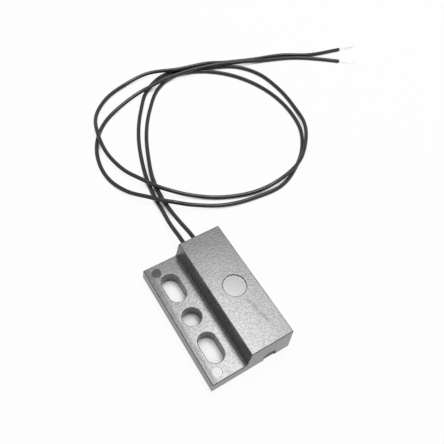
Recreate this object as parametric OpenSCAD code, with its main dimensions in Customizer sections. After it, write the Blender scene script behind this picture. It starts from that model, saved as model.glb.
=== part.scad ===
// Flange-mount reed sensor: a moulded housing with a raised block and a slotted flange,
// a glass reed capsule potted inside the block, and two insulated lead wires.
// Millimetres, +Z up. The origin is the middle of the housing's base, the flange is on -X,
// and the wires leave the block at +Y and lie on the surface that the housing rests on.

/* [Housing] */
// Length of the block and the flange, at the base
housing_l = 28.6; // [27:0.1:32]
// Width over the block and the flange, at the base
housing_w = 18.6; // [17.8:0.1:21]
// Height of the block
block_h = 7.5; // [7:0.1:9]
// Height of the flange
flange_h = 3; // [2:0.1:4]
// Width of the flange, from its outer edge at the base to the foot of the block
flange_w = 8.05; // [7.5:0.05:8.6]
// Draft of the outer walls, in degrees
draft = 2; // [0.5:0.5:3]
// Lean of the block's wall above the flange, in degrees
riser_lean = 6.3; // [3:0.1:9]
// Radius of the top edges
edge_r = 0.2; // [0.1:0.05:0.4]
// Radius of the inside corner at the foot of the block
foot_r = 0.3; // [0.1:0.05:0.6]

/* [Fixing holes] */
// Distance of the hole row from the flange's outer edge
hole_inset = 3.8; // [3.4:0.1:4.4]
// Diameter of the round middle hole
hole_d = 4.1; // [3:0.1:4.4]
// Width of the two slots
slot_w = 3.9; // [3:0.1:4.2]
// Length of a slot from end to end
slot_l = 6.8; // [5:0.1:7.4]
// Distance between the two slots' centres
slot_spacing = 15; // [14:0.1:16]
// Chamfer of the rims of the holes and of the round recess
rim = 0.12; // [0.05:0.01:0.2]

/* [Mould marks] */
// Distance of the mark line on the block from the block's outer side
mark_line_inset = 5; // [4:0.1:6]
// Diameter of the round recess in the block's top
disc_d = 4.9; // [3:0.1:6]
// Depth of the round recess
disc_depth = 0.25; // [0.1:0.05:0.5]
// Diameter of the two ejector marks in the flange
ejector_d = 2.2; // [1:0.1:2.4]
// Depth of the ejector marks
ejector_depth = 0.05; // [0.02:0.01:0.2]
// Distance of the ejector marks from the flange's outer edge
ejector_inset_x = 2.2; // [1.6:0.1:2.4]
// Distance of the ejector marks from the flange's ends
ejector_inset_y = 2; // [1.6:0.1:2.2]
// Width of the arched gate recess in the block's end
gate_w = 2.8; // [2:0.1:3]
// Height of the gate recess
gate_h = 2.4; // [1.8:0.1:3]
// Depth of the gate recess
gate_depth = 0.2; // [0.1:0.05:0.4]
// Diameter of the pit that the torn gate left in the recess
gate_pit_d = 0.6; // [0.3:0.1:0.8]
// Depth of the pit behind the recess
gate_pit_depth = 0.4; // [0.2:0.05:0.5]
// Distance of the pit from the mark line, towards the flange
gate_pit_offset = 0.9; // [0.2:0.1:1]
// Height of the pit above the base
gate_pit_z = 1.3; // [0.8:0.1:1.6]

/* [Potting pocket] */
// Wall between the pocket and the block's outer side, at the base
outer_wall = 1.7; // [1.2:0.1:2]
// Width of the pocket
pocket_w = 7; // [6.6:0.1:7.4]
// Wall at the closed end of the pocket, at the base
end_wall = 1.5; // [1.2:0.1:2]
// Floor under the pocket
floor_t = 1.2; // [0.8:0.1:1.5]
// Roof over the pocket
roof_t = 1.9; // [1.2:0.1:2.2]
// How far the potting stays back from the open end, at the base
potting_recess = 0.3; // [0.1:0.05:0.8]

/* [Reed capsule] */
// Length of the glass tube
glass_l = 14; // [12:0.1:15]
// Outer diameter of the glass tube
glass_d = 2.2; // [2.1:0.05:2.6]
// Wall of the glass tube
glass_wall = 0.35; // [0.2:0.05:0.4]
// Length of the solid glass seal at each end
seal_l = 1.6; // [1:0.1:2]
// Radius of the fused glass at the ends, outside and inside
glass_end_r = 0.4; // [0.1:0.05:0.6]
// Diameter of the reed leads
lead_d = 0.6; // [0.4:0.05:0.7]
// Length of the far lead beyond the glass
far_lead_l = 3.4; // [3:0.1:3.6]
// Distance from the glass to the near lead's bent leg
near_lead_l = 3.6; // [3:0.1:3.8]
// Radius of the near lead's bend, at its centre line
lead_bend_r = 0.8; // [0.6:0.1:1.2]
// Width of the flattened blades
blade_w = 1.2; // [0.8:0.05:1.25]
// Thickness of the flattened blades
blade_t = 0.2; // [0.1:0.02:0.26]
// Overlap of the two blade tips
blade_overlap = 0.7; // [0.4:0.1:1.2]
// Open gap between the two blade tips
blade_gap = 0.06; // [0.04:0.01:0.1]
// Distance of each blade's bending line from its glass seal
flex_at = 1.2; // [0.9:0.1:1.6]
// Slit at the bending line, where the blade turns
flex_slit = 0.01; // [0.005:0.005:0.02]
// Corner radius of the blade tips
blade_tip_r = 0.25; // [0.1:0.05:0.4]

/* [Wires] */
// Diameter over the insulation
wire_d = 1; // [0.8:0.05:1]
// Diameter of the stranded conductor
conductor_d = 0.48; // [0.3:0.02:0.5]
// Bare length at each free end
tip_l = 5; // [2:0.5:8]
// Distance of the left wire from the pocket's inner wall
left_wire_inset = 1.1; // [1:0.05:1.3]
// Distance between the two wires where they leave
wire_pitch = 2.8; // [2.6:0.05:3]
// Height of the wires and of the reed capsule above the base
wire_z = 3.2; // [2.8:0.1:3.4]
// Bare length of each wire inside the potting
strip_l = 2; // [1.6:0.1:2.4]
// Diameter of the solder beads
solder_d = 1.6; // [1.5:0.1:1.9]
// Length of the solder beads
solder_l = 1.8; // [1.4:0.1:2]
// Radius of the solder beads' rims
solder_end_r = 0.1; // [0.05:0.05:0.15]
// Solder between the right wire's conductor and the far lead
solder_film = 0.06; // [0.02:0.02:0.2]

/* [Hidden] */
$fn = 64;
// Sides of a wire's tube, and of its hole in the potting
wire_sides = 8;
// Straight steps in a rounded corner
arc_steps = 6;
// How far a cutter runs past the face that it opens
cut = 1;

// Outer shape
side_x = housing_w / 2;
end_y = housing_l / 2;
foot_x = flange_w - side_x;
mark_line_x = side_x - mark_line_inset;
hole_x = hole_inset - side_x;

// Pocket and potting
pocket_x1 = side_x - outer_wall;
pocket_x0 = pocket_x1 - pocket_w;
pocket_y0 = end_wall - end_y;
pocket_z1 = block_h - roof_t;
potting_y = end_y - potting_recess;

// Wires inside the potting: each leaves its face at its exit
left_x = pocket_x0 + left_wire_inset;
right_x = left_x + wire_pitch;
left_exit = [left_x, potting_y, wire_z];
right_exit = [right_x, potting_y, wire_z];

// Reed capsule, along Y beside the right wire's conductor
reed_x = right_x + conductor_d / 2 + solder_film + lead_d / 2;
glass_y = glass_l / 2;
cavity_y = glass_y - seal_l;
cavity_r = glass_d / 2 - glass_wall;
flex_y = cavity_y - flex_at;
// The round lead runs a little way into the cavity, and the flat begins clear of the glass
lead_in = flex_at / 2;
flat_from = cavity_y - glass_end_r;
blade_mid_z = (blade_gap + blade_t) / 2;
leg_y = -glass_y - near_lead_l;
leg_end_x = left_x - lead_d;
far_lead_y = glass_y + far_lead_l;

// Middle of the far solder bead, which ends level with the far lead
far_solder_x = (right_x + reed_x) / 2;
far_solder_y = far_lead_y - solder_l / 2;

// Bare inner ends: the left one stops on the bent leg, the right one lies beside the far lead
left_root_y = leg_y + lead_d / 2;
left_strip_y = left_root_y + strip_l;
right_strip_y = far_lead_y + conductor_d;
right_root_y = right_strip_y - strip_l - conductor_d;

// Routes of the free wires over the surface, from the exit to the stripped end. Each crossing
// is a long low hump, one wire's height above the strand that lies under it.
left_route = [
    [1.7, 14, 3.2], [1.7, 17.2, 3.1], [1.8, 22, 2.3], [2.4, 27, 1.2], [2.9, 32, 0.6],
    [3.7, 37, 0.5], [5.5, 43.5, 0.5], [8.5, 51, 0.5], [13, 58.5, 0.5], [18.5, 65, 0.5],
    [25, 68.2, 0.5], [32, 67.8, 0.5], [39.5, 65, 0.5], [46, 62, 0.5], [50, 57, 0.5],
    [51.7, 50, 0.5], [51.6, 41.5, 0.5], [50, 34.5, 1], [45.8, 28.5, 1.6], [40, 23.7, 1.6],
    [33, 21.6, 1.2], [25, 21.7, 0.6], [17, 24.2, 0.5], [9.9, 28.6, 0.9], [6, 31.9, 1.6],
    [2.6, 36.8, 1.6], [-0.1, 42.7, 1], [-1.3, 48.8, 1.2], [-0.7, 55.2, 1.6], [1.4, 61.2, 1],
    [6, 66.1, 0.6], [13, 69.2, 0.6], [21, 70.1, 1.2], [29, 67.7, 1.6], [37, 66.4, 1.6],
    [44.5, 64.7, 0.8], [53, 62.6, 0.5], [61, 60.6, 0.5], [69, 57, 0.5], [79, 54.9, 0.5]];
right_route = [
    [4.5, 14, 3.2], [4.3, 17, 3.1], [4.1, 22, 2.1], [4.1, 27, 1.1], [4.4, 32, 0.6],
    [5.2, 37, 0.5], [7.4, 43.5, 0.5], [10.8, 51, 0.5], [15.5, 58, 0.5], [21.5, 64.2, 0.5],
    [28, 66.9, 0.5], [35, 65.2, 0.5], [41.8, 60.6, 0.5], [46.5, 54.2, 0.5], [49, 47, 0.5],
    [49.4, 40, 0.5], [48, 33.5, 0.5], [44.5, 28, 0.5], [39, 23.3, 0.5], [32.5, 20.2, 0.5],
    [24.5, 20.2, 0.5], [16.3, 21.8, 0.7], [9.1, 25.3, 1.3], [5.1, 27.8, 2.1], [1.4, 31.4, 1.9],
    [-2.3, 36.3, 0.9], [-4.3, 42, 0.5], [-4, 48, 0.5], [-1.2, 54.6, 0.5], [3.5, 59.5, 0.5],
    [10, 62.6, 0.9], [17, 64.3, 1.6], [25, 65.6, 1.6], [33, 65.6, 1.6], [41, 64.3, 1.6],
    [47.5, 62.6, 1.3], [55, 60.8, 0.6], [64.5, 57.6, 0.5], [70, 54.4, 0.5], [75.5, 50.6, 0.5]];

// A route moved so that it starts at the exit, with the straight run inside the potting
function wire_path(route, exit, inner_y) = concat(
    [[exit.x, inner_y, exit.z]],
    [exit],
    [for (i = [1:len(route) - 1])
        [exit.x + route[i].x - route[0].x, exit.y + route[i].y - route[0].y, route[i].z]]);
left_path = wire_path(left_route, left_exit, left_strip_y);
right_path = wire_path(right_route, right_exit, right_strip_y);

function unit(v) = v / norm(v);

// Points of a corner p between its neighbours a and b, rounded by radius r
function corner(a, p, b, r) = r == 0 ? [p] :
    let (u = unit(a - p), v = unit(b - p), half = acos(u * v) / 2)
    let (centre = p + unit(u + v) * r / sin(half))
    let (start = p + u * r / tan(half) - centre, finish = p + v * r / tan(half) - centre)
    let (step = sign(cross(start, finish)) * (180 - 2 * half) / arc_steps)
    [for (k = [0:arc_steps]) centre + [
        start.x * cos(k * step) - start.y * sin(k * step),
        start.x * sin(k * step) + start.y * cos(k * step)]];

// An outline with each corner rounded by its own radius
function rounded(points, radii) = let (n = len(points)) [
    for (i = [0:n - 1])
        each corner(points[(i + n - 1) % n], points[i], points[(i + 1) % n], radii[i])];

// Outlines across the housing (X, Z) and along it (Y, Z)
function wall_x(z) = side_x - z * tan(draft);
function wall_y(z) = end_y - z * tan(draft);
function riser_x(z) = foot_x + (z - flange_h) * tan(riser_lean);
function end_outline(h) = rounded(
    [[-end_y, 0], [end_y, 0], [wall_y(h), h], [-wall_y(h), h]], [0, 0, edge_r, edge_r]);
block_outline = rounded(
    [[riser_x(0), 0], [side_x, 0], [wall_x(block_h), block_h], [riser_x(block_h), block_h]],
    [0, 0, edge_r, edge_r]);
flange_outline = rounded(
    [[-side_x, 0], [foot_x + foot_r, 0], [foot_x + foot_r, flange_h],
     [-wall_x(flange_h), flange_h]],
    [0, 0, 0, edge_r]);
// Fillet at the foot: its arc, closed through a point inside the block
foot_outline = concat([[foot_x + foot_r, flange_h - foot_r]], corner(
    [-side_x, flange_h], [foot_x, flange_h], [riser_x(block_h), block_h], foot_r));

// An outline in X and Z, carried along Y
module along_y(outline)
    rotate([90, 0, 0]) linear_extrude(height = 2 * housing_l, center = true) polygon(outline);

// An outline in Y and Z, carried along X
module along_x(outline)
    rotate([90, 0, 90]) linear_extrude(height = 2 * housing_w, center = true) polygon(outline);

// A slab with the outline of its ends and of its sides
module slab(across, along) intersection() {
    along_y(across);
    along_x(along);
}

// A round cutter from z0 through the face at z1, with a chamfered rim there
module hole(d, z0, z1) {
    translate([0, 0, z0]) cylinder(d = d, h = z1 - z0);
    translate([0, 0, z1 - rim]) cylinder(d1 = d, d2 = d + 2 * (rim + cut), h = rim + cut);
}

// A slot through the flange, along Y, with the same rim
module slot() {
    run = slot_l - slot_w;
    half = slot_w / 2;
    for (s = [-1, 1]) translate([0, s * run / 2, 0]) hole(slot_w, -cut, flange_h);
    rotate([90, 0, 0]) linear_extrude(height = run, center = true) polygon([
        [-half, -cut], [half, -cut], [half, flange_h - rim], [half + rim + cut, flange_h + cut],
        [-half - rim - cut, flange_h + cut], [-half, flange_h - rim]]);
}

// An arched recess in the closed end, open at the base, with the pit of the torn gate
module gate_recess() {
    top_z = gate_h - gate_w / 2;
    depth_y = gate_depth + cut;
    translate([mark_line_x, -end_y - cut, 0]) {
        translate([0, 0, top_z]) rotate([-90, 0, 0]) cylinder(d = gate_w, h = depth_y);
        translate([-gate_w / 2, 0, -cut]) cube([gate_w, depth_y, top_z + cut]);
        translate([-gate_pit_offset, 0, gate_pit_z]) rotate([-90, 0, 0])
            cylinder(d = gate_pit_d, h = depth_y + gate_pit_depth);
    }
}

// The space for the reed capsule, from the closed end to y
module pocket(y)
    translate([pocket_x0, pocket_y0, floor_t])
        cube([pocket_w, y - pocket_y0, pocket_z1 - floor_t]);

module housing() color([0.17, 0.17, 0.18]) difference() {
    union() {
        slab(block_outline, end_outline(block_h));
        slab(flange_outline, end_outline(flange_h));
        slab(foot_outline, end_outline(block_h));
    }
    pocket(end_y + cut);
    translate([hole_x, 0, 0]) hole(hole_d, -cut, flange_h);
    for (s = [-1, 1]) translate([hole_x, s * slot_spacing / 2, 0]) slot();
    translate([mark_line_x, 0, 0]) hole(disc_d, block_h - disc_depth, block_h);
    for (s = [-1, 1])
        translate([ejector_inset_x - side_x, s * (end_y - ejector_inset_y),
                   flange_h - ejector_depth])
            cylinder(d = ejector_d, h = ejector_depth + cut);
    gate_recess();
}

// A straight round bar along Y
module bar_y(x, y0, y1, d)
    translate([x, y0, wire_z]) rotate([-90, 0, 0]) cylinder(d = d, h = y1 - y0);

// Half outline of a tube with rounded ends, for turning about its axis
module tube_outline(r, l, end_r) {
    translate([0, -l / 2 + end_r]) square([r, l - 2 * end_r]);
    translate([0, -l / 2]) square([r - end_r, l]);
    for (s = [-1, 1]) translate([r - end_r, s * (l / 2 - end_r)]) circle(end_r);
}

// Puts a shape that was turned about Z on the capsule's axis
module on_reed_axis() translate([reed_x, 0, wire_z]) rotate([-90, 0, 0]) children();

module glass_body() on_reed_axis() rotate_extrude() tube_outline(glass_d / 2, glass_l, glass_end_r);

module glass_capsule() color([0.75, 0.85, 0.8, 0.5]) on_reed_axis() rotate_extrude()
    difference() {
        tube_outline(glass_d / 2, glass_l, glass_end_r);
        tube_outline(cavity_r, 2 * cavity_y, glass_end_r);
        translate([0, -glass_l]) square([lead_d / 2, 2 * glass_l]);
    }

// Round part of the near lead, bent towards the left wire
module near_lead_round() {
    bar_y(reed_x, leg_y + lead_bend_r, lead_in - cavity_y, lead_d);
    translate([reed_x - lead_bend_r, leg_y + lead_bend_r, wire_z]) rotate([0, 0, -90])
        rotate_extrude(angle = 90) translate([lead_bend_r, 0]) circle(d = lead_d);
    translate([leg_end_x, leg_y, wire_z]) rotate([0, 90, 0])
        cylinder(d = lead_d, h = reed_x - lead_bend_r - leg_end_x);
}

module far_lead_round() bar_y(reed_x, cavity_y - lead_in, far_lead_y, lead_d);

// A flat stretch of reed from y0 to y1, its middle z above the capsule's axis
module flat_reed(y0, y1, z)
    translate([reed_x - blade_w / 2, y0, wire_z + z - blade_t / 2])
        cube([blade_w, y1 - y0, blade_t]);

// A blade from its bending line to its tip, pointing to +Y
module blade() {
    l = flex_y + blade_overlap / 2 - flex_slit;
    w = blade_w / 2;
    translate([0, flex_slit - flex_y, -blade_t / 2]) linear_extrude(height = blade_t) polygon(
        rounded([[-w, 0], [w, 0], [w, l], [-w, l]], [0, 0, blade_tip_r, blade_tip_r]));
}

module near_lead() color([0.72, 0.72, 0.7]) {
    near_lead_round();
    flat_reed(-flat_from, -flex_y, -blade_mid_z);
}

module far_lead() color([0.72, 0.72, 0.7]) {
    far_lead_round();
    flat_reed(flex_y, flat_from, blade_mid_z);
}

module near_blade() color([0.78, 0.76, 0.72])
    translate([reed_x, 0, wire_z - blade_mid_z]) blade();

module far_blade() color([0.78, 0.76, 0.72])
    translate([reed_x, 0, wire_z + blade_mid_z]) rotate([0, 0, 180]) blade();

module left_wire_root() color([0.8, 0.8, 0.78])
    bar_y(left_x, left_root_y, left_strip_y, conductor_d);

module right_wire_root() color([0.8, 0.8, 0.78])
    bar_y(right_x, right_root_y, right_strip_y, conductor_d);

module bead() rotate_extrude() tube_outline(solder_d / 2, solder_l, solder_end_r);

// Bead around the bent leg, where the left wire meets it
module near_bead() translate([left_x, leg_y, wire_z]) rotate([0, 90, 0]) bead();

// Bead around the far lead and the right wire beside it
module far_bead() translate([far_solder_x, far_solder_y, wire_z]) rotate([-90, 0, 0]) bead();

module near_solder() color([0.7, 0.7, 0.72]) difference() {
    near_bead();
    near_lead_round();
    left_wire_root();
}

module far_solder() color([0.7, 0.7, 0.72]) difference() {
    far_bead();
    far_lead_round();
    right_wire_root();
}

// A wire's straight run through the potting, with the same sides as its tube
module wire_run(x, y)
    translate([x, y, wire_z]) rotate([-90, 0, 0])
        cylinder(d = wire_d, h = potting_y + cut - y, $fn = wire_sides);

module potting() color([0.1, 0.1, 0.11]) difference() {
    pocket(potting_y);
    glass_body();
    near_lead_round();
    far_lead_round();
    near_bead();
    far_bead();
    left_wire_root();
    right_wire_root();
    wire_run(left_x, left_strip_y);
    wire_run(right_x, right_strip_y);
}

// A tube along a path: a ring square to the path at each point, and a flat cap at each end
module tube(path, d) {
    last = len(path) - 1;
    along = [for (i = [0:last]) unit(path[min(i + 1, last)] - path[max(i - 1, 0)])];
    points = [for (i = [0:last])
        let (side = unit(cross(along[i], [0, 0, 1])), up = cross(side, along[i]))
        for (k = [0:wire_sides - 1])
            let (a = k * 360 / wire_sides)
            path[i] + (cos(a) * side + sin(a) * up) * d / 2];
    walls = [for (i = [0:last - 1], k = [0:wire_sides - 1])
        let (next = (k + 1) % wire_sides)
        [i * wire_sides + k, i * wire_sides + next,
         (i + 1) * wire_sides + next, (i + 1) * wire_sides + k]];
    first_cap = [for (k = [wire_sides - 1:-1:0]) k];
    last_cap = [for (k = [0:wire_sides - 1]) last * wire_sides + k];
    polyhedron(points, concat(walls, [first_cap, last_cap]));
}

// The bare conductor beyond the insulation, straight on from the path's end
module tip(path) {
    end = path[len(path) - 1];
    along = end - path[len(path) - 2];
    translate(end) rotate([0, 90, atan2(along.y, along.x)]) cylinder(d = conductor_d, h = tip_l);
}

module left_wire() color([0.13, 0.13, 0.15]) tube(left_path, wire_d);

module right_wire() color([0.13, 0.13, 0.15]) tube(right_path, wire_d);

module left_wire_tip() color([0.8, 0.8, 0.78]) tip(left_path);

module right_wire_tip() color([0.8, 0.8, 0.78]) tip(right_path);

housing();
potting();
glass_capsule();
near_lead();
far_lead();
near_blade();
far_blade();
near_solder();
far_solder();
left_wire();
right_wire();
left_wire_root();
right_wire_root();
left_wire_tip();
right_wire_tip();
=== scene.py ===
"""Looks of a flange-mount reed sensor: a grained moulding and two lead wires on a white table."""

import logging
import math
from dataclasses import dataclass
from enum import Enum
from functools import partial
from typing import Any

import bpy
from mathutils import Matrix, Vector


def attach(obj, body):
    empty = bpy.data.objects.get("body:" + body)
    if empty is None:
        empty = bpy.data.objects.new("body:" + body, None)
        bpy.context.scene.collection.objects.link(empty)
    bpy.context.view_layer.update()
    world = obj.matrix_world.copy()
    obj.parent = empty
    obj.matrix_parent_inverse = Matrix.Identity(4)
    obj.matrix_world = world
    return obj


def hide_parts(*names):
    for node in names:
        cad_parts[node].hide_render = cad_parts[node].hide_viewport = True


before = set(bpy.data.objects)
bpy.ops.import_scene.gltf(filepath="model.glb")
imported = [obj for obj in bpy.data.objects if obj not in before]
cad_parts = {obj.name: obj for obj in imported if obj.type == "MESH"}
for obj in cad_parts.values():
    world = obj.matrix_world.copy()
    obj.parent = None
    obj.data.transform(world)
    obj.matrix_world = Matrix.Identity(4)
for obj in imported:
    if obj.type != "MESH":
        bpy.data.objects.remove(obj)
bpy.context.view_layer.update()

log = logging.getLogger("reed_sensor")

MM = 0.001
IMAGE_PX = 444
SENSOR_MM = 36.0
SENSOR_BODY = "sensor"
WHITE = (1.0, 1.0, 1.0, 1.0)

# A noise pattern rarely leaves this span.
NOISE_LOW = 0.3
NOISE_HIGH = 0.7

# Strand radii between the axes of two strands that touch.
TOUCHING = 2.0

# A Bezier handle is the run to the next point over this number.
HANDLES_PER_RUN = 3.0

Colour = tuple[float, float, float]
Point = tuple[float, float, float]
Span = tuple[float, float]


class Side(Enum):
    """The two lead wires, by the side of the block that each leaves from."""

    LEFT = "left"
    RIGHT = "right"


class Slot(Enum):
    """The record's material slot names for the added pieces; nothing here uses them."""

    INSULATION = "wire_insulation"
    TINNED = "tinned_copper"


def add_node(
    tree: bpy.types.NodeTree, kind: str, inputs: dict[Any, Any] | None = None, **settings: Any
) -> bpy.types.Node:
    """Adds a node to a tree.

    Args:
        tree: the node tree.
        kind: the node's type.
        inputs: what goes to each input, by name or number: another node's socket or a value.
        settings: the node's own properties.

    Returns:
        The node.
    """
    made = tree.nodes.new(kind)
    for key, value in settings.items():
        setattr(made, key, value)
    for key, value in (inputs or {}).items():
        if isinstance(value, bpy.types.NodeSocket):
            tree.links.new(value, made.inputs[key])
        else:
            made.inputs[key].default_value = value
    return made


def add_math(
    tree: bpy.types.NodeTree, operation: str, first: Any, second: Any
) -> bpy.types.NodeSocket:
    """Adds a node that works out one sum of two numbers.

    Args:
        tree: the node tree.
        operation: the Math node's operation.
        first: a socket or a number.
        second: a socket or a number.

    Returns:
        The result's socket.
    """
    made = add_node(tree, "ShaderNodeMath", {0: first, 1: second}, operation=operation)
    return made.outputs[0]


class Shader:
    """A material under construction: one Principled surface and the nodes that feed it."""

    def __init__(self, name: str, sockets: dict[str, Any]) -> None:
        """Starts a material.

        Args:
            name: the material's name.
            sockets: values that are the same all over the surface, by socket name.
        """
        self.material = bpy.data.materials.new(name)
        self.material.use_nodes = True
        self.tree = self.material.node_tree
        self.surface = self.tree.nodes["Principled BSDF"]
        for socket, value in sockets.items():
            self.surface.inputs[socket].default_value = value
        self.place = self.node("ShaderNodeTexCoord").outputs["Object"]

    def node(
        self, kind: str, inputs: dict[Any, Any] | None = None, **settings: Any
    ) -> bpy.types.Node:
        """Adds a node to the material, as add_node does."""
        return add_node(self.tree, kind, inputs, **settings)

    def math(self, operation: str, first: Any, second: Any = 0.0) -> bpy.types.NodeSocket:
        """Adds a sum to the material, as add_math does."""
        return add_math(self.tree, operation, first, second)

    def noise(self, size: float, detail: float = 3.0, place: Any = None) -> bpy.types.NodeSocket:
        """Adds a noise pattern.

        Args:
            size: how large its blotches are, in metres.
            detail: how many finer layers it has.
            place: the coordinates to read, or None for the piece's own.

        Returns:
            The pattern's socket, about NOISE_LOW to NOISE_HIGH.
        """
        inputs = {"Vector": place or self.place, "Scale": 1.0 / size, "Detail": detail}
        return self.node("ShaderNodeTexNoise", inputs).outputs["Fac"]

    def spread(
        self,
        factor: Any,
        low: float,
        high: float,
        start: float = NOISE_LOW,
        end: float = NOISE_HIGH,
    ) -> bpy.types.NodeSocket:
        """Spreads a factor over a range.

        Args:
            factor: the socket to spread.
            low: the value at start.
            high: the value at end.
            start: the factor that gives low.
            end: the factor that gives high.

        Returns:
            The spread value's socket.
        """
        inputs = {
            "Value": factor,
            "From Min": start,
            "From Max": end,
            "To Min": low,
            "To Max": high,
        }
        made = self.node("ShaderNodeMapRange", inputs, interpolation_type="SMOOTHSTEP", clamp=True)
        return made.outputs["Result"]

    def tint(self, factor: Any, dark: Colour, light: Colour) -> bpy.types.NodeSocket:
        """Shades between two colours.

        Args:
            factor: 0 for the dark colour and 1 for the light one.
            dark: a linear colour.
            light: a linear colour.

        Returns:
            The colour's socket.
        """
        inputs = {"Factor": factor, "A": (*dark, 1.0), "B": (*light, 1.0)}
        return self.node("ShaderNodeMix", inputs, data_type="RGBA").outputs["Result"]

    def blend(self, factor: Any, first: Any, second: Any) -> bpy.types.NodeSocket:
        """Blends two numbers.

        Args:
            factor: 0 for the first number and 1 for the second.
            first: a socket or a number.
            second: a socket or a number.

        Returns:
            The blended number's socket.
        """
        inputs = {"Factor": factor, "A": first, "B": second}
        return self.node("ShaderNodeMix", inputs).outputs["Result"]

    def bump(self, height: Any, depth: float, under: Any = None) -> bpy.types.NodeSocket:
        """Turns a height pattern into a surface relief.

        Args:
            height: the pattern's socket.
            depth: the relief's depth in metres where the pattern goes from 0 to 1.
            under: the relief below this one, or None.

        Returns:
            The normal's socket.
        """
        inputs = {"Height": height, "Distance": depth, "Strength": 1.0}
        if under is not None:
            inputs["Normal"] = under
        return self.node("ShaderNodeBump", inputs).outputs["Normal"]

    def finish(self, **sockets: bpy.types.NodeSocket) -> bpy.types.Material:
        """Feeds the surface.

        Args:
            sockets: the socket that goes to each input, by the input's name with underscores.

        Returns:
            The finished material.
        """
        for name, socket in sockets.items():
            self.tree.links.new(socket, self.surface.inputs[name.replace("_", " ")])
        return self.material


@dataclass(frozen=True)
class SmoothSpotWithPaintedLight:
    """A round place on the moulding that is smoother than the grained face around it.

    Its shade goes from 0, the plastic's dark colour, to 1, its light one. This tone is
    painted light: a light spot is a painted highlight and a dark one is painted shade.
    Faces below its lowest height aren't part of it.
    """

    x: float
    y: float
    radius: float
    roughness: float
    # Painted light: the spot's tone, light for a painted highlight and dark for painted shade.
    shade: float
    lowest: float


# The round recess on the block's top, toned light as a painted highlight.
ROUND_RECESS_PAINTED_HIGHLIGHT = SmoothSpotWithPaintedLight(
    4.3 * MM, 0.0, 2.45 * MM, roughness=0.25, shade=0.9, lowest=6.0 * MM
)
# The far ejector mark, toned darkest as painted shade where it mirrors no lamp.
FAR_EJECTOR_MARK_PAINTED_SHADE = SmoothSpotWithPaintedLight(
    -7.1 * MM, 12.3 * MM, 1.1 * MM, roughness=0.10, shade=0.0, lowest=2.0 * MM
)
# The near ejector mark, toned light as a painted reflection of the softbox.
NEAR_EJECTOR_MARK_PAINTED_REFLECTION = SmoothSpotWithPaintedLight(
    -7.1 * MM, -12.3 * MM, 1.1 * MM, roughness=0.24, shade=0.9, lowest=2.0 * MM
)


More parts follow.
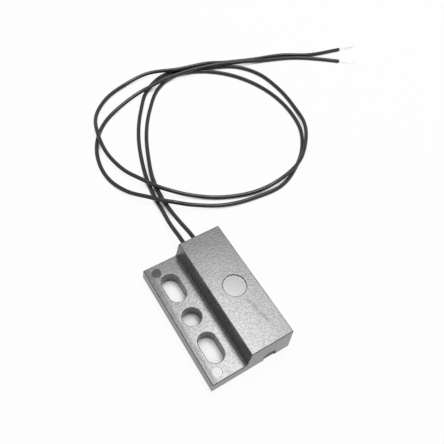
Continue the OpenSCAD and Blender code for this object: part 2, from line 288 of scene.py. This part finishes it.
@dataclass(frozen=True)
class MouldedPlastic:
    """Fine-grained dark moulded plastic, with smooth mould marks and a faint scuff."""

    dark: Colour = (0.012, 0.012, 0.016)
    light: Colour = (0.092, 0.093, 0.102)
    ior: float = 1.75
    speckle: float = 0.35 * MM
    sheen: float = 0.36
    sheen_roughness: float = 0.4
    roughness: Span = (0.24, 0.31)
    grain: float = 0.4 * MM
    grain_depth: float = 0.014 * MM
    mottle: float = 1.1 * MM
    mottle_share: float = 0.35
    sink: float = 7.0 * MM
    sink_depth: float = 0.02 * MM
    margin: Span = (-9.3 * MM, -7.8 * MM)
    margin_fall: float = 0.04 * MM
    gate_place: Point = (4.3 * MM, 0.0, 1.0 * MM)
    gate_radius: float = 1.7 * MM
    gate_behind: float = -13.9 * MM
    gate_roughness: float = 0.85
    # The gate mark's tone: partly its own dull blush, partly painted shade in its recess.
    gate_tone_with_painted_shade: float = 0.0
    scuff_from: Point = (4.6 * MM, -2.6 * MM, 0.0)
    scuff_turn: float = math.radians(-79.0)
    scuff_length: float = 8.5 * MM
    scuff_width: float = 0.8 * MM
    scuff_fade: float = 0.2
    scuff_broken: Span = (0.3, 1.0)
    scuff_roughness: float = 0.11
    spots: tuple[SmoothSpotWithPaintedLight, ...] = (ROUND_RECESS_PAINTED_HIGHLIGHT, FAR_EJECTOR_MARK_PAINTED_SHADE, NEAR_EJECTOR_MARK_PAINTED_REFLECTION)
    spot_core: float = 0.94

    def spot_mask(self, shader: Shader, spot: SmoothSpotWithPaintedLight) -> bpy.types.NodeSocket:
        """Marks one smooth spot.

        Args:
            shader: the material under construction.
            spot: the spot to mark.

        Returns:
            A socket that is 1 inside the spot and 0 outside it.
        """
        parts = shader.node("ShaderNodeSeparateXYZ", {0: shader.place}).outputs
        flat = shader.node("ShaderNodeCombineXYZ", {"X": parts["X"], "Y": parts["Y"]})
        away = shader.node(
            "ShaderNodeVectorMath",
            {0: flat.outputs[0], 1: (spot.x, spot.y, 0.0)},
            operation="DISTANCE",
        )
        core = spot.radius * self.spot_core
        inside = shader.spread(away.outputs["Value"], 1.0, 0.0, core, spot.radius)
        above = shader.math("GREATER_THAN", parts["Z"], spot.lowest)
        return shader.math("MULTIPLY", inside, above)

    def scuff_mask(self, shader: Shader) -> bpy.types.NodeSocket:
        """Marks the faint scuff that runs along the block's top.

        Args:
            shader: the material under construction.

        Returns:
            A socket that is up to 1 on the scuff and 0 away from it.
        """
        turned = shader.node(
            "ShaderNodeMapping",
            {
                "Vector": shader.place,
                "Location": self.scuff_from,
                "Rotation": (0.0, 0.0, self.scuff_turn),
            },
            vector_type="TEXTURE",
        )
        parts = shader.node("ShaderNodeSeparateXYZ", {0: turned.outputs[0]}).outputs
        aside = shader.math("ABSOLUTE", parts["Y"])
        fade = self.scuff_length * self.scuff_fade
        across = shader.spread(aside, 1.0, 0.0, 0.0, self.scuff_width)
        begun = shader.spread(parts["X"], 0.0, 1.0, 0.0, fade)
        ended = shader.spread(parts["X"], 1.0, 0.0, self.scuff_length - fade, self.scuff_length)
        broken = shader.spread(shader.noise(self.mottle), *self.scuff_broken)
        marked = shader.math("MULTIPLY", across, broken)
        return shader.math("MULTIPLY", marked, shader.math("MULTIPLY", begun, ended))

    def gate_mask(self, shader: Shader) -> bpy.types.NodeSocket:
        """Marks the recess that the mould's gate left in the block's end, with its dull blush.

        Args:
            shader: the material under construction.

        Returns:
            A socket that is 1 in the recess and its blush, and 0 away from them.
        """
        parts = shader.node("ShaderNodeSeparateXYZ", {0: shader.place}).outputs
        height = shader.math("MAXIMUM", parts["Z"], self.gate_place[2])
        arch = shader.node("ShaderNodeCombineXYZ", {"X": parts["X"], "Z": height})
        away = shader.node(
            "ShaderNodeVectorMath",
            {0: arch.outputs[0], 1: self.gate_place},
            operation="DISTANCE",
        )
        inside = shader.math("LESS_THAN", away.outputs["Value"], self.gate_radius)
        at_end = shader.math("LESS_THAN", parts["Y"], self.gate_behind)
        return shader.math("MULTIPLY", inside, at_end)

    def make(self) -> bpy.types.Material:
        """Builds the finish.

        Returns:
            The material.
        """
        constants = {
            "IOR": self.ior,
            "Sheen Weight": self.sheen,
            "Sheen Roughness": self.sheen_roughness,
        }
        shader = Shader("moulded_plastic", constants)
        grain = shader.noise(self.grain, detail=2.0)
        fleck = shader.noise(self.speckle, detail=1.0)
        clouds = shader.math("MULTIPLY", shader.noise(self.mottle), self.mottle_share)
        flecks = shader.math("MULTIPLY", fleck, 1.0 - self.mottle_share)
        shade = shader.spread(shader.math("ADD", clouds, flecks), 0.0, 1.0)
        scuff = shader.math("MULTIPLY", self.scuff_mask(shader), self.scuff_roughness)
        roughness = shader.math("ADD", shader.spread(grain, *self.roughness), scuff)
        height = grain
        # Painted light: each spot's tone is a painted highlight on the recess and the near mark,
        # and painted shade on the far mark.
        for spot in self.spots:
            mask = self.spot_mask(shader, spot)
            shade = shader.blend(mask, shade, spot.shade)
            roughness = shader.blend(mask, roughness, spot.roughness)
            height = shader.math("MULTIPLY", height, shader.math("SUBTRACT", 1.0, mask))
        # Painted shade in part: the gate recess and its dull blush take the plastic's darkest tone.
        gate = self.gate_mask(shader)
        shade = shader.blend(gate, shade, self.gate_tone_with_painted_shade)
        roughness = shader.blend(gate, roughness, self.gate_roughness)
        aside = shader.node("ShaderNodeSeparateXYZ", {0: shader.place}).outputs["X"]
        fallen = shader.bump(shader.spread(aside, 0.0, 1.0, *self.margin), self.margin_fall)
        sunk = shader.bump(shader.noise(self.sink, detail=0.0), self.sink_depth, fallen)
        relief = shader.bump(height, self.grain_depth, sunk)
        colour = shader.tint(shade, self.dark, self.light)
        return shader.finish(Base_Color=colour, Roughness=roughness, Normal=relief)


@dataclass(frozen=True)
class CastResin:
    """Poured black potting resin: glossy, with a slightly wavy skin."""

    dark: Colour = (0.014, 0.014, 0.016)
    light: Colour = (0.026, 0.026, 0.028)
    ior: float = 1.55
    roughness: Span = (0.16, 0.3)
    wave: float = 1.6 * MM
    wave_depth: float = 0.05 * MM
    gloss_share: float = 0.4

    def make(self) -> bpy.types.Material:
        """Builds the finish.

        Returns:
            The material.
        """
        shader = Shader("cast_resin", {"IOR": self.ior})
        wave = shader.noise(self.wave, detail=1.0)
        colour = shader.tint(shader.spread(wave, 0.0, 1.0), self.dark, self.light)
        gloss = shader.noise(self.wave * self.gloss_share)
        roughness = shader.spread(gloss, *self.roughness)
        skin = shader.bump(wave, self.wave_depth)
        return shader.finish(Base_Color=colour, Roughness=roughness, Normal=skin)


@dataclass(frozen=True)
class WireInsulation:
    """Black extruded insulation: satin, with a fine skin and a few dull patches."""

    dark: Colour = (0.006, 0.006, 0.008)
    light: Colour = (0.012, 0.012, 0.015)
    ior: float = 1.47
    roughness: Span = (0.24, 0.34)
    patch: float = 2.5 * MM
    gloss_share: float = 0.5
    skin: float = 0.12 * MM
    skin_depth: float = 0.0006 * MM

    def make(self) -> bpy.types.Material:
        """Builds the finish.

        Returns:
            The material.
        """
        shader = Shader("wire_insulation", {"IOR": self.ior})
        patch = shader.noise(self.patch)
        colour = shader.tint(shader.spread(patch, 0.0, 1.0), self.dark, self.light)
        gloss = shader.noise(self.patch * self.gloss_share)
        roughness = shader.spread(gloss, *self.roughness)
        skin = shader.bump(shader.noise(self.skin, detail=1.0), self.skin_depth)
        return shader.finish(Base_Color=colour, Roughness=roughness, Normal=skin)


@dataclass(frozen=True)
class BareMetal:
    """Bare metal with fine tone, gloss and relief of its own."""

    name: str
    dark: Colour
    light: Colour
    roughness: Span
    stretch: Point = (1.0, 1.0, 1.0)
    mark: float = 0.3 * MM
    mark_depth: float = 0.008 * MM
    gloss_share: float = 2.0

    def make(self) -> bpy.types.Material:
        """Builds the finish.

        Returns:
            The material.
        """
        shader = Shader(self.name, {"Metallic": 1.0})
        stretched = {"Vector": shader.place, "Scale": self.stretch}
        drawn = shader.node("ShaderNodeMapping", stretched).outputs[0]
        mark = shader.noise(self.mark, place=drawn)
        colour = shader.tint(shader.spread(mark, 0.0, 1.0), self.dark, self.light)
        gloss = shader.noise(self.mark * self.gloss_share, detail=2.0, place=drawn)
        roughness = shader.spread(gloss, *self.roughness)
        relief = shader.bump(mark, self.mark_depth)
        return shader.finish(Base_Color=colour, Roughness=roughness, Normal=relief)


@dataclass(frozen=True)
class CapsuleGlass:
    """Clear, slightly green capsule glass."""

    clear: Colour = (0.93, 0.98, 0.94)
    tinted: Colour = (0.82, 0.93, 0.86)
    ior: float = 1.5
    roughness: Span = (0.0, 0.06)
    streak: float = 0.8 * MM

    def make(self) -> bpy.types.Material:
        """Builds the finish.

        Returns:
            The material.
        """
        shader = Shader("capsule_glass", {"IOR": self.ior, "Transmission Weight": 1.0})
        streak = shader.noise(self.streak)
        colour = shader.tint(shader.spread(streak, 0.0, 1.0), self.clear, self.tinted)
        return shader.finish(Base_Color=colour, Roughness=shader.spread(streak, *self.roughness))


ROLLED_ALLOY = BareMetal(
    "rolled_alloy",
    dark=(0.50, 0.49, 0.47),
    light=(0.64, 0.63, 0.61),
    roughness=(0.24, 0.36),
    stretch=(1.0, 0.08, 1.0),
)
SATIN_SOLDER = BareMetal(
    "satin_solder",
    dark=(0.50, 0.50, 0.52),
    light=(0.66, 0.66, 0.68),
    roughness=(0.28, 0.42),
)
TINNED_STRANDS = BareMetal(
    "tinned_strands",
    dark=(0.62, 0.61, 0.59),
    light=(0.80, 0.79, 0.76),
    roughness=(0.26, 0.42),
)


def dress(node: str, material: bpy.types.Material) -> None:
    """Gives a CAD node its finish.

    Args:
        node: the node's name.
        material: the finish.
    """
    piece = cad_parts[node]
    if not piece.material_slots:
        piece.data.materials.append(material)
    for place in piece.material_slots:
        place.material = material
    log.info("%s: dressed in %s", node, material.name)


def link_piece(name: str, data: Any) -> bpy.types.Object:
    """Puts a new object in the scene, at the origin.

    Args:
        name: the object's name.
        data: its mesh, curve, light or camera.

    Returns:
        The new object.
    """
    piece = bpy.data.objects.new(name, data)
    bpy.context.scene.collection.objects.link(piece)
    return piece


@dataclass
class Housing:
    """The moulding and the resin that fills its pocket."""

    plastic: MouldedPlastic = MouldedPlastic()
    resin: CastResin = CastResin()

    def build(self) -> None:
        """Dresses the moulding and the resin."""
        dress("housing", self.plastic.make())
        dress("potting", self.resin.make())


@dataclass
class ReedSwitch:
    """The glass capsule inside the block, with its reeds, solder and the wires' inner ends."""

    glass: CapsuleGlass = CapsuleGlass()
    alloy: BareMetal = ROLLED_ALLOY
    solder: BareMetal = SATIN_SOLDER

    def build(self, tinned: bpy.types.Material) -> None:
        """Dresses each piece of the switch.

        Args:
            tinned: the finish of the wires' bare inner ends.
        """
        alloy = self.alloy.make()
        solder = self.solder.make()
        dress("glass_capsule", self.glass.make())
        for reed in ("near_lead", "far_lead", "near_blade", "far_blade"):
            dress(reed, alloy)
        for bead in ("near_solder", "far_solder"):
            dress(bead, solder)
        for side in Side:
            dress(f"{side.value}_wire_root", tinned)


@dataclass
class StrandedTip:
    """A wire's bare end: strands laid around a middle one, made by Geometry Nodes."""

    length: float = 5.0 * MM
    strand_diameter: float = 0.16 * MM
    outer_strands: int = 6
    turns: float = 0.9
    steps_per_turn: int = 40
    sides: int = 10

    def tree(self) -> bpy.types.GeometryNodeTree:
        """Builds the strands' node tree.

        Returns:
            The tree, with named inputs for its sizes.
        """
        tree = bpy.data.node_groups.new("laid_strands", "GeometryNodeTree")
        face = tree.interface
        face.new_socket("Geometry", in_out="OUTPUT", socket_type="NodeSocketGeometry")
        face.new_socket("Geometry", in_out="INPUT", socket_type="NodeSocketGeometry")
        for name in ("Length", "Strand Radius", "Turns"):
            face.new_socket(name, in_out="INPUT", socket_type="NodeSocketFloat")
        for name in ("Outer Strands", "Steps", "Sides"):
            face.new_socket(name, in_out="INPUT", socket_type="NodeSocketInt")
        face.new_socket("Finish", in_out="INPUT", socket_type="NodeSocketMaterial")
        add = partial(add_node, tree)
        given = add("NodeGroupInput").outputs

        # One helix, copied around the middle strand.
        lay_radius = add_math(tree, "MULTIPLY", given["Strand Radius"], TOUCHING)
        helix = add(
            "GeometryNodeCurveSpiral",
            {
                "Resolution": given["Steps"],
                "Rotations": given["Turns"],
                "Start Radius": lay_radius,
                "End Radius": lay_radius,
                "Height": given["Length"],
            },
        )
        share = add_math(tree, "DIVIDE", math.tau, given["Outer Strands"])
        index = add("GeometryNodeInputIndex").outputs[0]
        euler = add("ShaderNodeCombineXYZ", {"Z": add_math(tree, "MULTIPLY", index, share)})
        turn = add("FunctionNodeEulerToRotation", {"Euler": euler.outputs[0]})
        starts = add("GeometryNodePoints", {"Count": given["Outer Strands"]})
        laid = add(
            "GeometryNodeInstanceOnPoints",
            {
                "Points": starts.outputs[0],
                "Instance": helix.outputs[0],
                "Rotation": turn.outputs[0],
            },
        )

        # The middle strand, and a round section for them all.
        top = add("ShaderNodeCombineXYZ", {"Z": given["Length"]})
        middle = add("GeometryNodeCurvePrimitiveLine", {"End": top.outputs[0]})
        bundle = add("GeometryNodeJoinGeometry")
        tree.links.new(laid.outputs[0], bundle.inputs[0])
        tree.links.new(middle.outputs[0], bundle.inputs[0])
        loose = add("GeometryNodeRealizeInstances", {"Geometry": bundle.outputs[0]})
        section = add(
            "GeometryNodeCurvePrimitiveCircle",
            {"Resolution": given["Sides"], "Radius": given["Strand Radius"]},
        )
        solid = add(
            "GeometryNodeCurveToMesh",
            {
                "Curve": loose.outputs[0],
                "Profile Curve": section.outputs[0],
                "Fill Caps": True,
            },
        )
        whole = add("GeometryNodeRealizeInstances", {"Geometry": solid.outputs[0]})
        dressed = add(
            "GeometryNodeSetMaterial",
            {"Geometry": whole.outputs[0], "Material": given["Finish"]},
        )
        add("NodeGroupOutput", {"Geometry": dressed.outputs[0]})
        return tree

    def build(
        self, name: str, start: Vector, along: Vector, finish: bpy.types.Material
    ) -> bpy.types.Object:
        """Makes one bare end.

        Args:
            name: the piece's name.
            start: the end of the insulation.
            along: the direction that the end points in.
            finish: the strands' material.

        Returns:
            The piece, a plain mesh.
        """
        tree = self.tree()
        maker = link_piece(f"{name}_maker", bpy.data.meshes.new(f"{name}_maker"))
        modifier = maker.modifiers.new("strands", "NODES")
        modifier.node_group = tree
        values = {
            "Length": self.length,
            "Strand Radius": self.strand_diameter / 2.0,
            "Turns": self.turns,
            "Outer Strands": self.outer_strands,
            "Steps": self.steps_per_turn,
            "Sides": self.sides,
            "Finish": finish,
        }
        for item in tree.interface.items_tree:
            if item.item_type == "SOCKET" and item.in_out == "INPUT" and item.name in values:
                modifier[item.identifier] = values[item.name]
        ready = maker.evaluated_get(bpy.context.evaluated_depsgraph_get())
        mesh = bpy.data.meshes.new_from_object(ready)
        bpy.data.objects.remove(maker)
        turn = along.to_track_quat("Z", "Y").to_matrix().to_4x4()
        mesh.transform(Matrix.Translation(start) @ turn)
        mesh.shade_smooth()
        piece = link_piece(name, mesh)
        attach(piece, SENSOR_BODY)
        return piece


@dataclass
class LeadWire:
    """One free lead wire: its insulation along its route in millimetres, and its bare end."""

    side: Side
    route: tuple[Point, ...]
    length: float
    diameter: float = 1.0 * MM
    steps: int = 10
    ring: int = 4

    def points(self) -> list[Vector]:
        """Gives the route's points in metres."""
        return [Vector(point) * MM for point in self.route]

    def directions(self, points: list[Vector]) -> list[Vector]:
        """Finds the wire's direction at each point, level wherever it touches the table.

        Args:
            points: the route's points.

        Returns:
            A unit direction for each point.
        """
        runs = [after - before for before, after in zip(points, points[1:])]
        leaving = runs[0].copy()
        leaving.z = 0.0
        found = [leaving.normalized()]
        for before, after in zip(runs, runs[1:]):
            first, second = before.length, after.length
            along = (before / first * second + after / second * first) / (first + second)
            rises = (before.z / first, after.z / second)
            product = rises[0] * rises[1]
            # The harmonic mean of the two rises can't overshoot a low or a high point.
            along.z = 2.0 * product / (rises[0] + rises[1]) if product > 0.0 else 0.0
            level = Vector((along.x, along.y, 0.0)).normalized() * math.sqrt(1.0 - along.z**2)
            found.append(Vector((level.x, level.y, along.z)))
        found.append(runs[-1].normalized())
        return found

    def insulation(self, finish: bpy.types.Material) -> bpy.types.Object:
        """Makes the insulation as one smooth open curve with a round section.

        Args:
            finish: the insulation's material.

        Returns:
            The curve's object.
        """
        name = f"{self.side.value}_wire_insulation"
        curve = bpy.data.curves.new(name, "CURVE")
        curve.dimensions = "3D"
        curve.resolution_u = self.steps
        curve.bevel_depth = self.diameter / 2.0
        curve.bevel_resolution = self.ring
        curve.use_fill_caps = True
        points = self.points()
        last = len(points) - 1
        spline = curve.splines.new("BEZIER")
        spline.bezier_points.add(last)
        knots = zip(spline.bezier_points, points, self.directions(points))
        for index, (knot, point, along) in enumerate(knots):
            before = (point - points[max(index - 1, 0)]).length / HANDLES_PER_RUN
            after = (points[min(index + 1, last)] - point).length / HANDLES_PER_RUN
            knot.handle_left_type = knot.handle_right_type = "FREE"
            knot.co = point
            knot.handle_left = point - along * (before or after)
            knot.handle_right = point + along * (after or before)
        curve.materials.append(finish)
        return link_piece(name, curve)

    def build(self, finish: bpy.types.Material, tinned: bpy.types.Material) -> None:
        """Makes the wire and its bare end, and says how long it is.

        Args:
            finish: the insulation's material.
            tinned: the strands' material.
        """
        name = f"{self.side.value}_wire"
        points = self.points()
        wire = self.insulation(finish)
        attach(wire, SENSOR_BODY)
        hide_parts(name)
        last_run = points[-1] - points[-2]
        last_run.z = 0.0
        tip = StrandedTip().build(f"{name}_strands", points[-1], last_run.normalized(), tinned)
        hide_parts(f"{name}_tip")
        log.info("%s: %.1f mm from exit to bare end", name, self.length / MM)


LEFT_ROUTE: tuple[Point, ...] = (
    (1.7, 14, 3.2), (1.7, 17.2, 3.1), (1.8, 22, 2.3), (2.4, 27, 1.2), (2.9, 32, 0.6),
    (3.7, 37, 0.5), (5.5, 43.5, 0.5), (8.5, 51, 0.5), (13, 58.5, 0.5), (18.5, 65, 0.5),
    (25, 68.2, 0.5), (32, 67.8, 0.5), (39.5, 65, 0.5), (46, 62, 0.5), (50, 57, 0.5),
    (51.7, 50, 0.5), (51.6, 41.5, 0.5), (50, 34.5, 1), (45.8, 28.5, 1.6), (40, 23.7, 1.6),
    (33, 21.6, 1.2), (25, 21.7, 0.6), (17, 24.2, 0.5), (9.9, 28.6, 0.9), (6, 31.9, 1.6),
    (2.6, 36.8, 1.6), (-0.1, 42.7, 1), (-1.3, 48.8, 1.2), (-0.7, 55.2, 1.6), (1.4, 61.2, 1),
    (6, 66.1, 0.6), (13, 69.2, 0.6), (21, 70.1, 1.2), (29, 67.7, 1.6), (37, 66.4, 1.6),
    (44.5, 64.7, 0.8), (53, 62.6, 0.5), (61, 60.6, 0.5), (69, 57, 0.5), (79, 54.9, 0.5),
)
RIGHT_ROUTE: tuple[Point, ...] = (
    (4.5, 14, 3.2), (4.3, 17, 3.1), (4.1, 22, 2.1), (4.1, 27, 1.1), (4.4, 32, 0.6),
    (5.2, 37, 0.5), (7.4, 43.5, 0.5), (10.8, 51, 0.5), (15.5, 58, 0.5), (21.5, 64.2, 0.5),
    (28, 66.9, 0.5), (35, 65.2, 0.5), (41.8, 60.6, 0.5), (46.5, 54.2, 0.5), (49, 47, 0.5),
    (49.4, 40, 0.5), (48, 33.5, 0.5), (44.5, 28, 0.5), (39, 23.3, 0.5), (32.5, 20.2, 0.5),
    (24.5, 20.2, 0.5), (16.3, 21.8, 0.7), (9.1, 25.3, 1.3), (5.1, 27.8, 2.1), (1.4, 31.4, 1.9),
    (-2.3, 36.3, 0.9), (-4.3, 42, 0.5), (-4, 48, 0.5), (-1.2, 54.6, 0.5), (3.5, 59.5, 0.5),
    (10, 62.6, 0.9), (17, 64.3, 1.6), (25, 65.6, 1.6), (33, 65.6, 1.6), (41, 64.3, 1.6),
    (47.5, 62.6, 1.3), (55, 60.8, 0.6), (64.5, 57.6, 0.5), (70, 54.4, 0.5), (75.5, 50.6, 0.5),
)
LEFT_WIRE = LeadWire(Side.LEFT, LEFT_ROUTE, length=281.3 * MM)
RIGHT_WIRE = LeadWire(Side.RIGHT, RIGHT_ROUTE, length=271.7 * MM)


@dataclass
class Studio:
    """The camera, the white table and the soft light over it.

    Angles are in radians, and stand, the camera's place, is in millimetres.
    """

    azimuth: float = -0.6960271278
    elevation: float = 0.9741811436
    roll: float = 0.1643093322
    focal_px: float = 538.911
    stand: Point = (-32.172, -36.403, 104.928)
    clip: Span = (0.005, 20.0)
    table_size: float = 4.0
    table_z: float = -0.05 * MM
    table_white: float = 0.9
    seen_glow: float = 0.93
    mirrored_glow: float = 1.0
    shade_reach: float = 6.0 * MM
    shade_open: Span = (0.23, 0.47)
    box_height: float = 0.6
    box_x: Span = (0.1, 0.25)
    box_y: Span = (-0.08, 0.26)
    box_radiance: float = 15.2
    room: float = 0.35

    def camera(self) -> None:
        """Sets up the camera from the view that the photograph was taken from."""
        sine, cosine = math.sin(self.azimuth), math.cos(self.azimuth)
        level = math.cos(self.elevation)
        sideways = Vector((cosine, sine, 0.0))
        back = Vector((sine * level, -cosine * level, math.sin(self.elevation)))
        upright = back.cross(sideways)
        across = sideways * math.cos(self.roll) + upright * math.sin(self.roll)
        up = upright * math.cos(self.roll) - sideways * math.sin(self.roll)
        lens = bpy.data.cameras.new("camera")
        lens.sensor_fit = "HORIZONTAL"
        lens.sensor_width = SENSOR_MM
        lens.lens = self.focal_px * SENSOR_MM / IMAGE_PX
        lens.clip_start, lens.clip_end = self.clip
        camera = link_piece("camera", lens)
        turn = Matrix((across, up, back)).transposed().to_4x4()
        camera.matrix_world = Matrix.Translation(Vector(self.stand) * MM) @ turn
        bpy.context.scene.camera = camera

    def background_share(
        self, tree: bpy.types.NodeTree, seen: float, mirrored: float
    ) -> bpy.types.NodeSocket:
        """Tells rays that show the background from rays that only carry light.

        Args:
            tree: the node tree to add to.
            seen: the share for camera rays.
            mirrored: the share for glossy and transmission rays.

        Returns:
            A socket with the share for the ray at hand, 0 for a ray that only carries light.
        """
        path = add_node(tree, "ShaderNodeLightPath").outputs
        through = add_math(tree, "MAXIMUM", path["Is Glossy Ray"], path["Is Transmission Ray"])
        direct = add_math(tree, "MULTIPLY", path["Is Camera Ray"], seen)
        return add_math(tree, "MAXIMUM", direct, add_math(tree, "MULTIPLY", through, mirrored))

    def table(self) -> None:
        """Lays the white table, with a faint shadow around the part and a deep one in its holes."""
        half = self.table_size / 2.0
        corners = [(-half, -half), (half, -half), (half, half), (-half, half)]
        mesh = bpy.data.meshes.new("table")
        mesh.from_pydata([(x, y, self.table_z) for x, y in corners], [], [(0, 1, 2, 3)])
        material = bpy.data.materials.new("white_table")
        material.use_nodes = True
        tree = material.node_tree
        tree.nodes.clear()
        white = (self.table_white, self.table_white, self.table_white, 1.0)
        matt = add_node(tree, "ShaderNodeBsdfDiffuse", {"Color": white})
        glow = add_node(tree, "ShaderNodeEmission")
        shade = add_node(tree, "ShaderNodeAmbientOcclusion", {"Distance": self.shade_reach})
        closed, opened = self.shade_open
        lit = add_node(
            tree,
            "ShaderNodeMapRange",
            {"Value": shade.outputs["AO"], "From Min": closed, "From Max": opened},
        )
        share = self.background_share(tree, self.seen_glow, self.mirrored_glow)
        glowing = add_math(tree, "MULTIPLY", share, lit.outputs["Result"])
        layers = {0: glowing, 1: matt.outputs[0], 2: glow.outputs[0]}
        mixed = add_node(tree, "ShaderNodeMixShader", layers)
        add_node(tree, "ShaderNodeOutputMaterial", {"Surface": mixed.outputs[0]})
        mesh.materials.append(material)
        link_piece("table", mesh)

    def softbox(self) -> None:
        """Hangs one level softbox over the sensor."""
        width = self.box_x[1] - self.box_x[0]
        depth = self.box_y[1] - self.box_y[0]
        lamp = bpy.data.lights.new("softbox", "AREA")
        lamp.shape = "RECTANGLE"
        lamp.size = width
        lamp.size_y = depth
        lamp.energy = self.box_radiance * math.pi * width * depth
        box = link_piece("softbox", lamp)
        box.location = (sum(self.box_x) / 2.0, sum(self.box_y) / 2.0, self.box_height)

    def surroundings(self) -> None:
        """Makes the room: white where it is seen, dim where it lights."""
        world = bpy.data.worlds.new("white_room")
        bpy.context.scene.world = world
        world.use_nodes = True
        tree = world.node_tree
        tree.nodes.clear()
        dim = add_node(tree, "ShaderNodeBackground", {"Color": WHITE, "Strength": self.room})
        bright = add_node(tree, "ShaderNodeBackground", {"Color": WHITE, "Strength": 1.0})
        share = self.background_share(tree, seen=1.0, mirrored=1.0)
        layers = {0: share, 1: dim.outputs[0], 2: bright.outputs[0]}
        chosen = add_node(tree, "ShaderNodeMixShader", layers)
        add_node(tree, "ShaderNodeOutputWorld", {"Surface": chosen.outputs[0]})

    def build(self) -> None:
        """Sets up the table, the light and the room."""
        self.table()
        self.softbox()
        self.surroundings()
        bpy.context.scene.view_settings.view_transform = "Standard"


def main() -> None:
    """Builds the scene: camera, wires, housing, switch and studio."""
    logging.basicConfig(level=logging.INFO, format="%(message)s")
    studio = Studio()
    studio.camera()
    tinned = TINNED_STRANDS.make()
    insulation = WireInsulation().make()
    for wire in (LEFT_WIRE, RIGHT_WIRE):
        wire.build(insulation, tinned)
    Housing().build()
    ReedSwitch().build(tinned)
    studio.build()


if __name__ == "__main__":
    main()
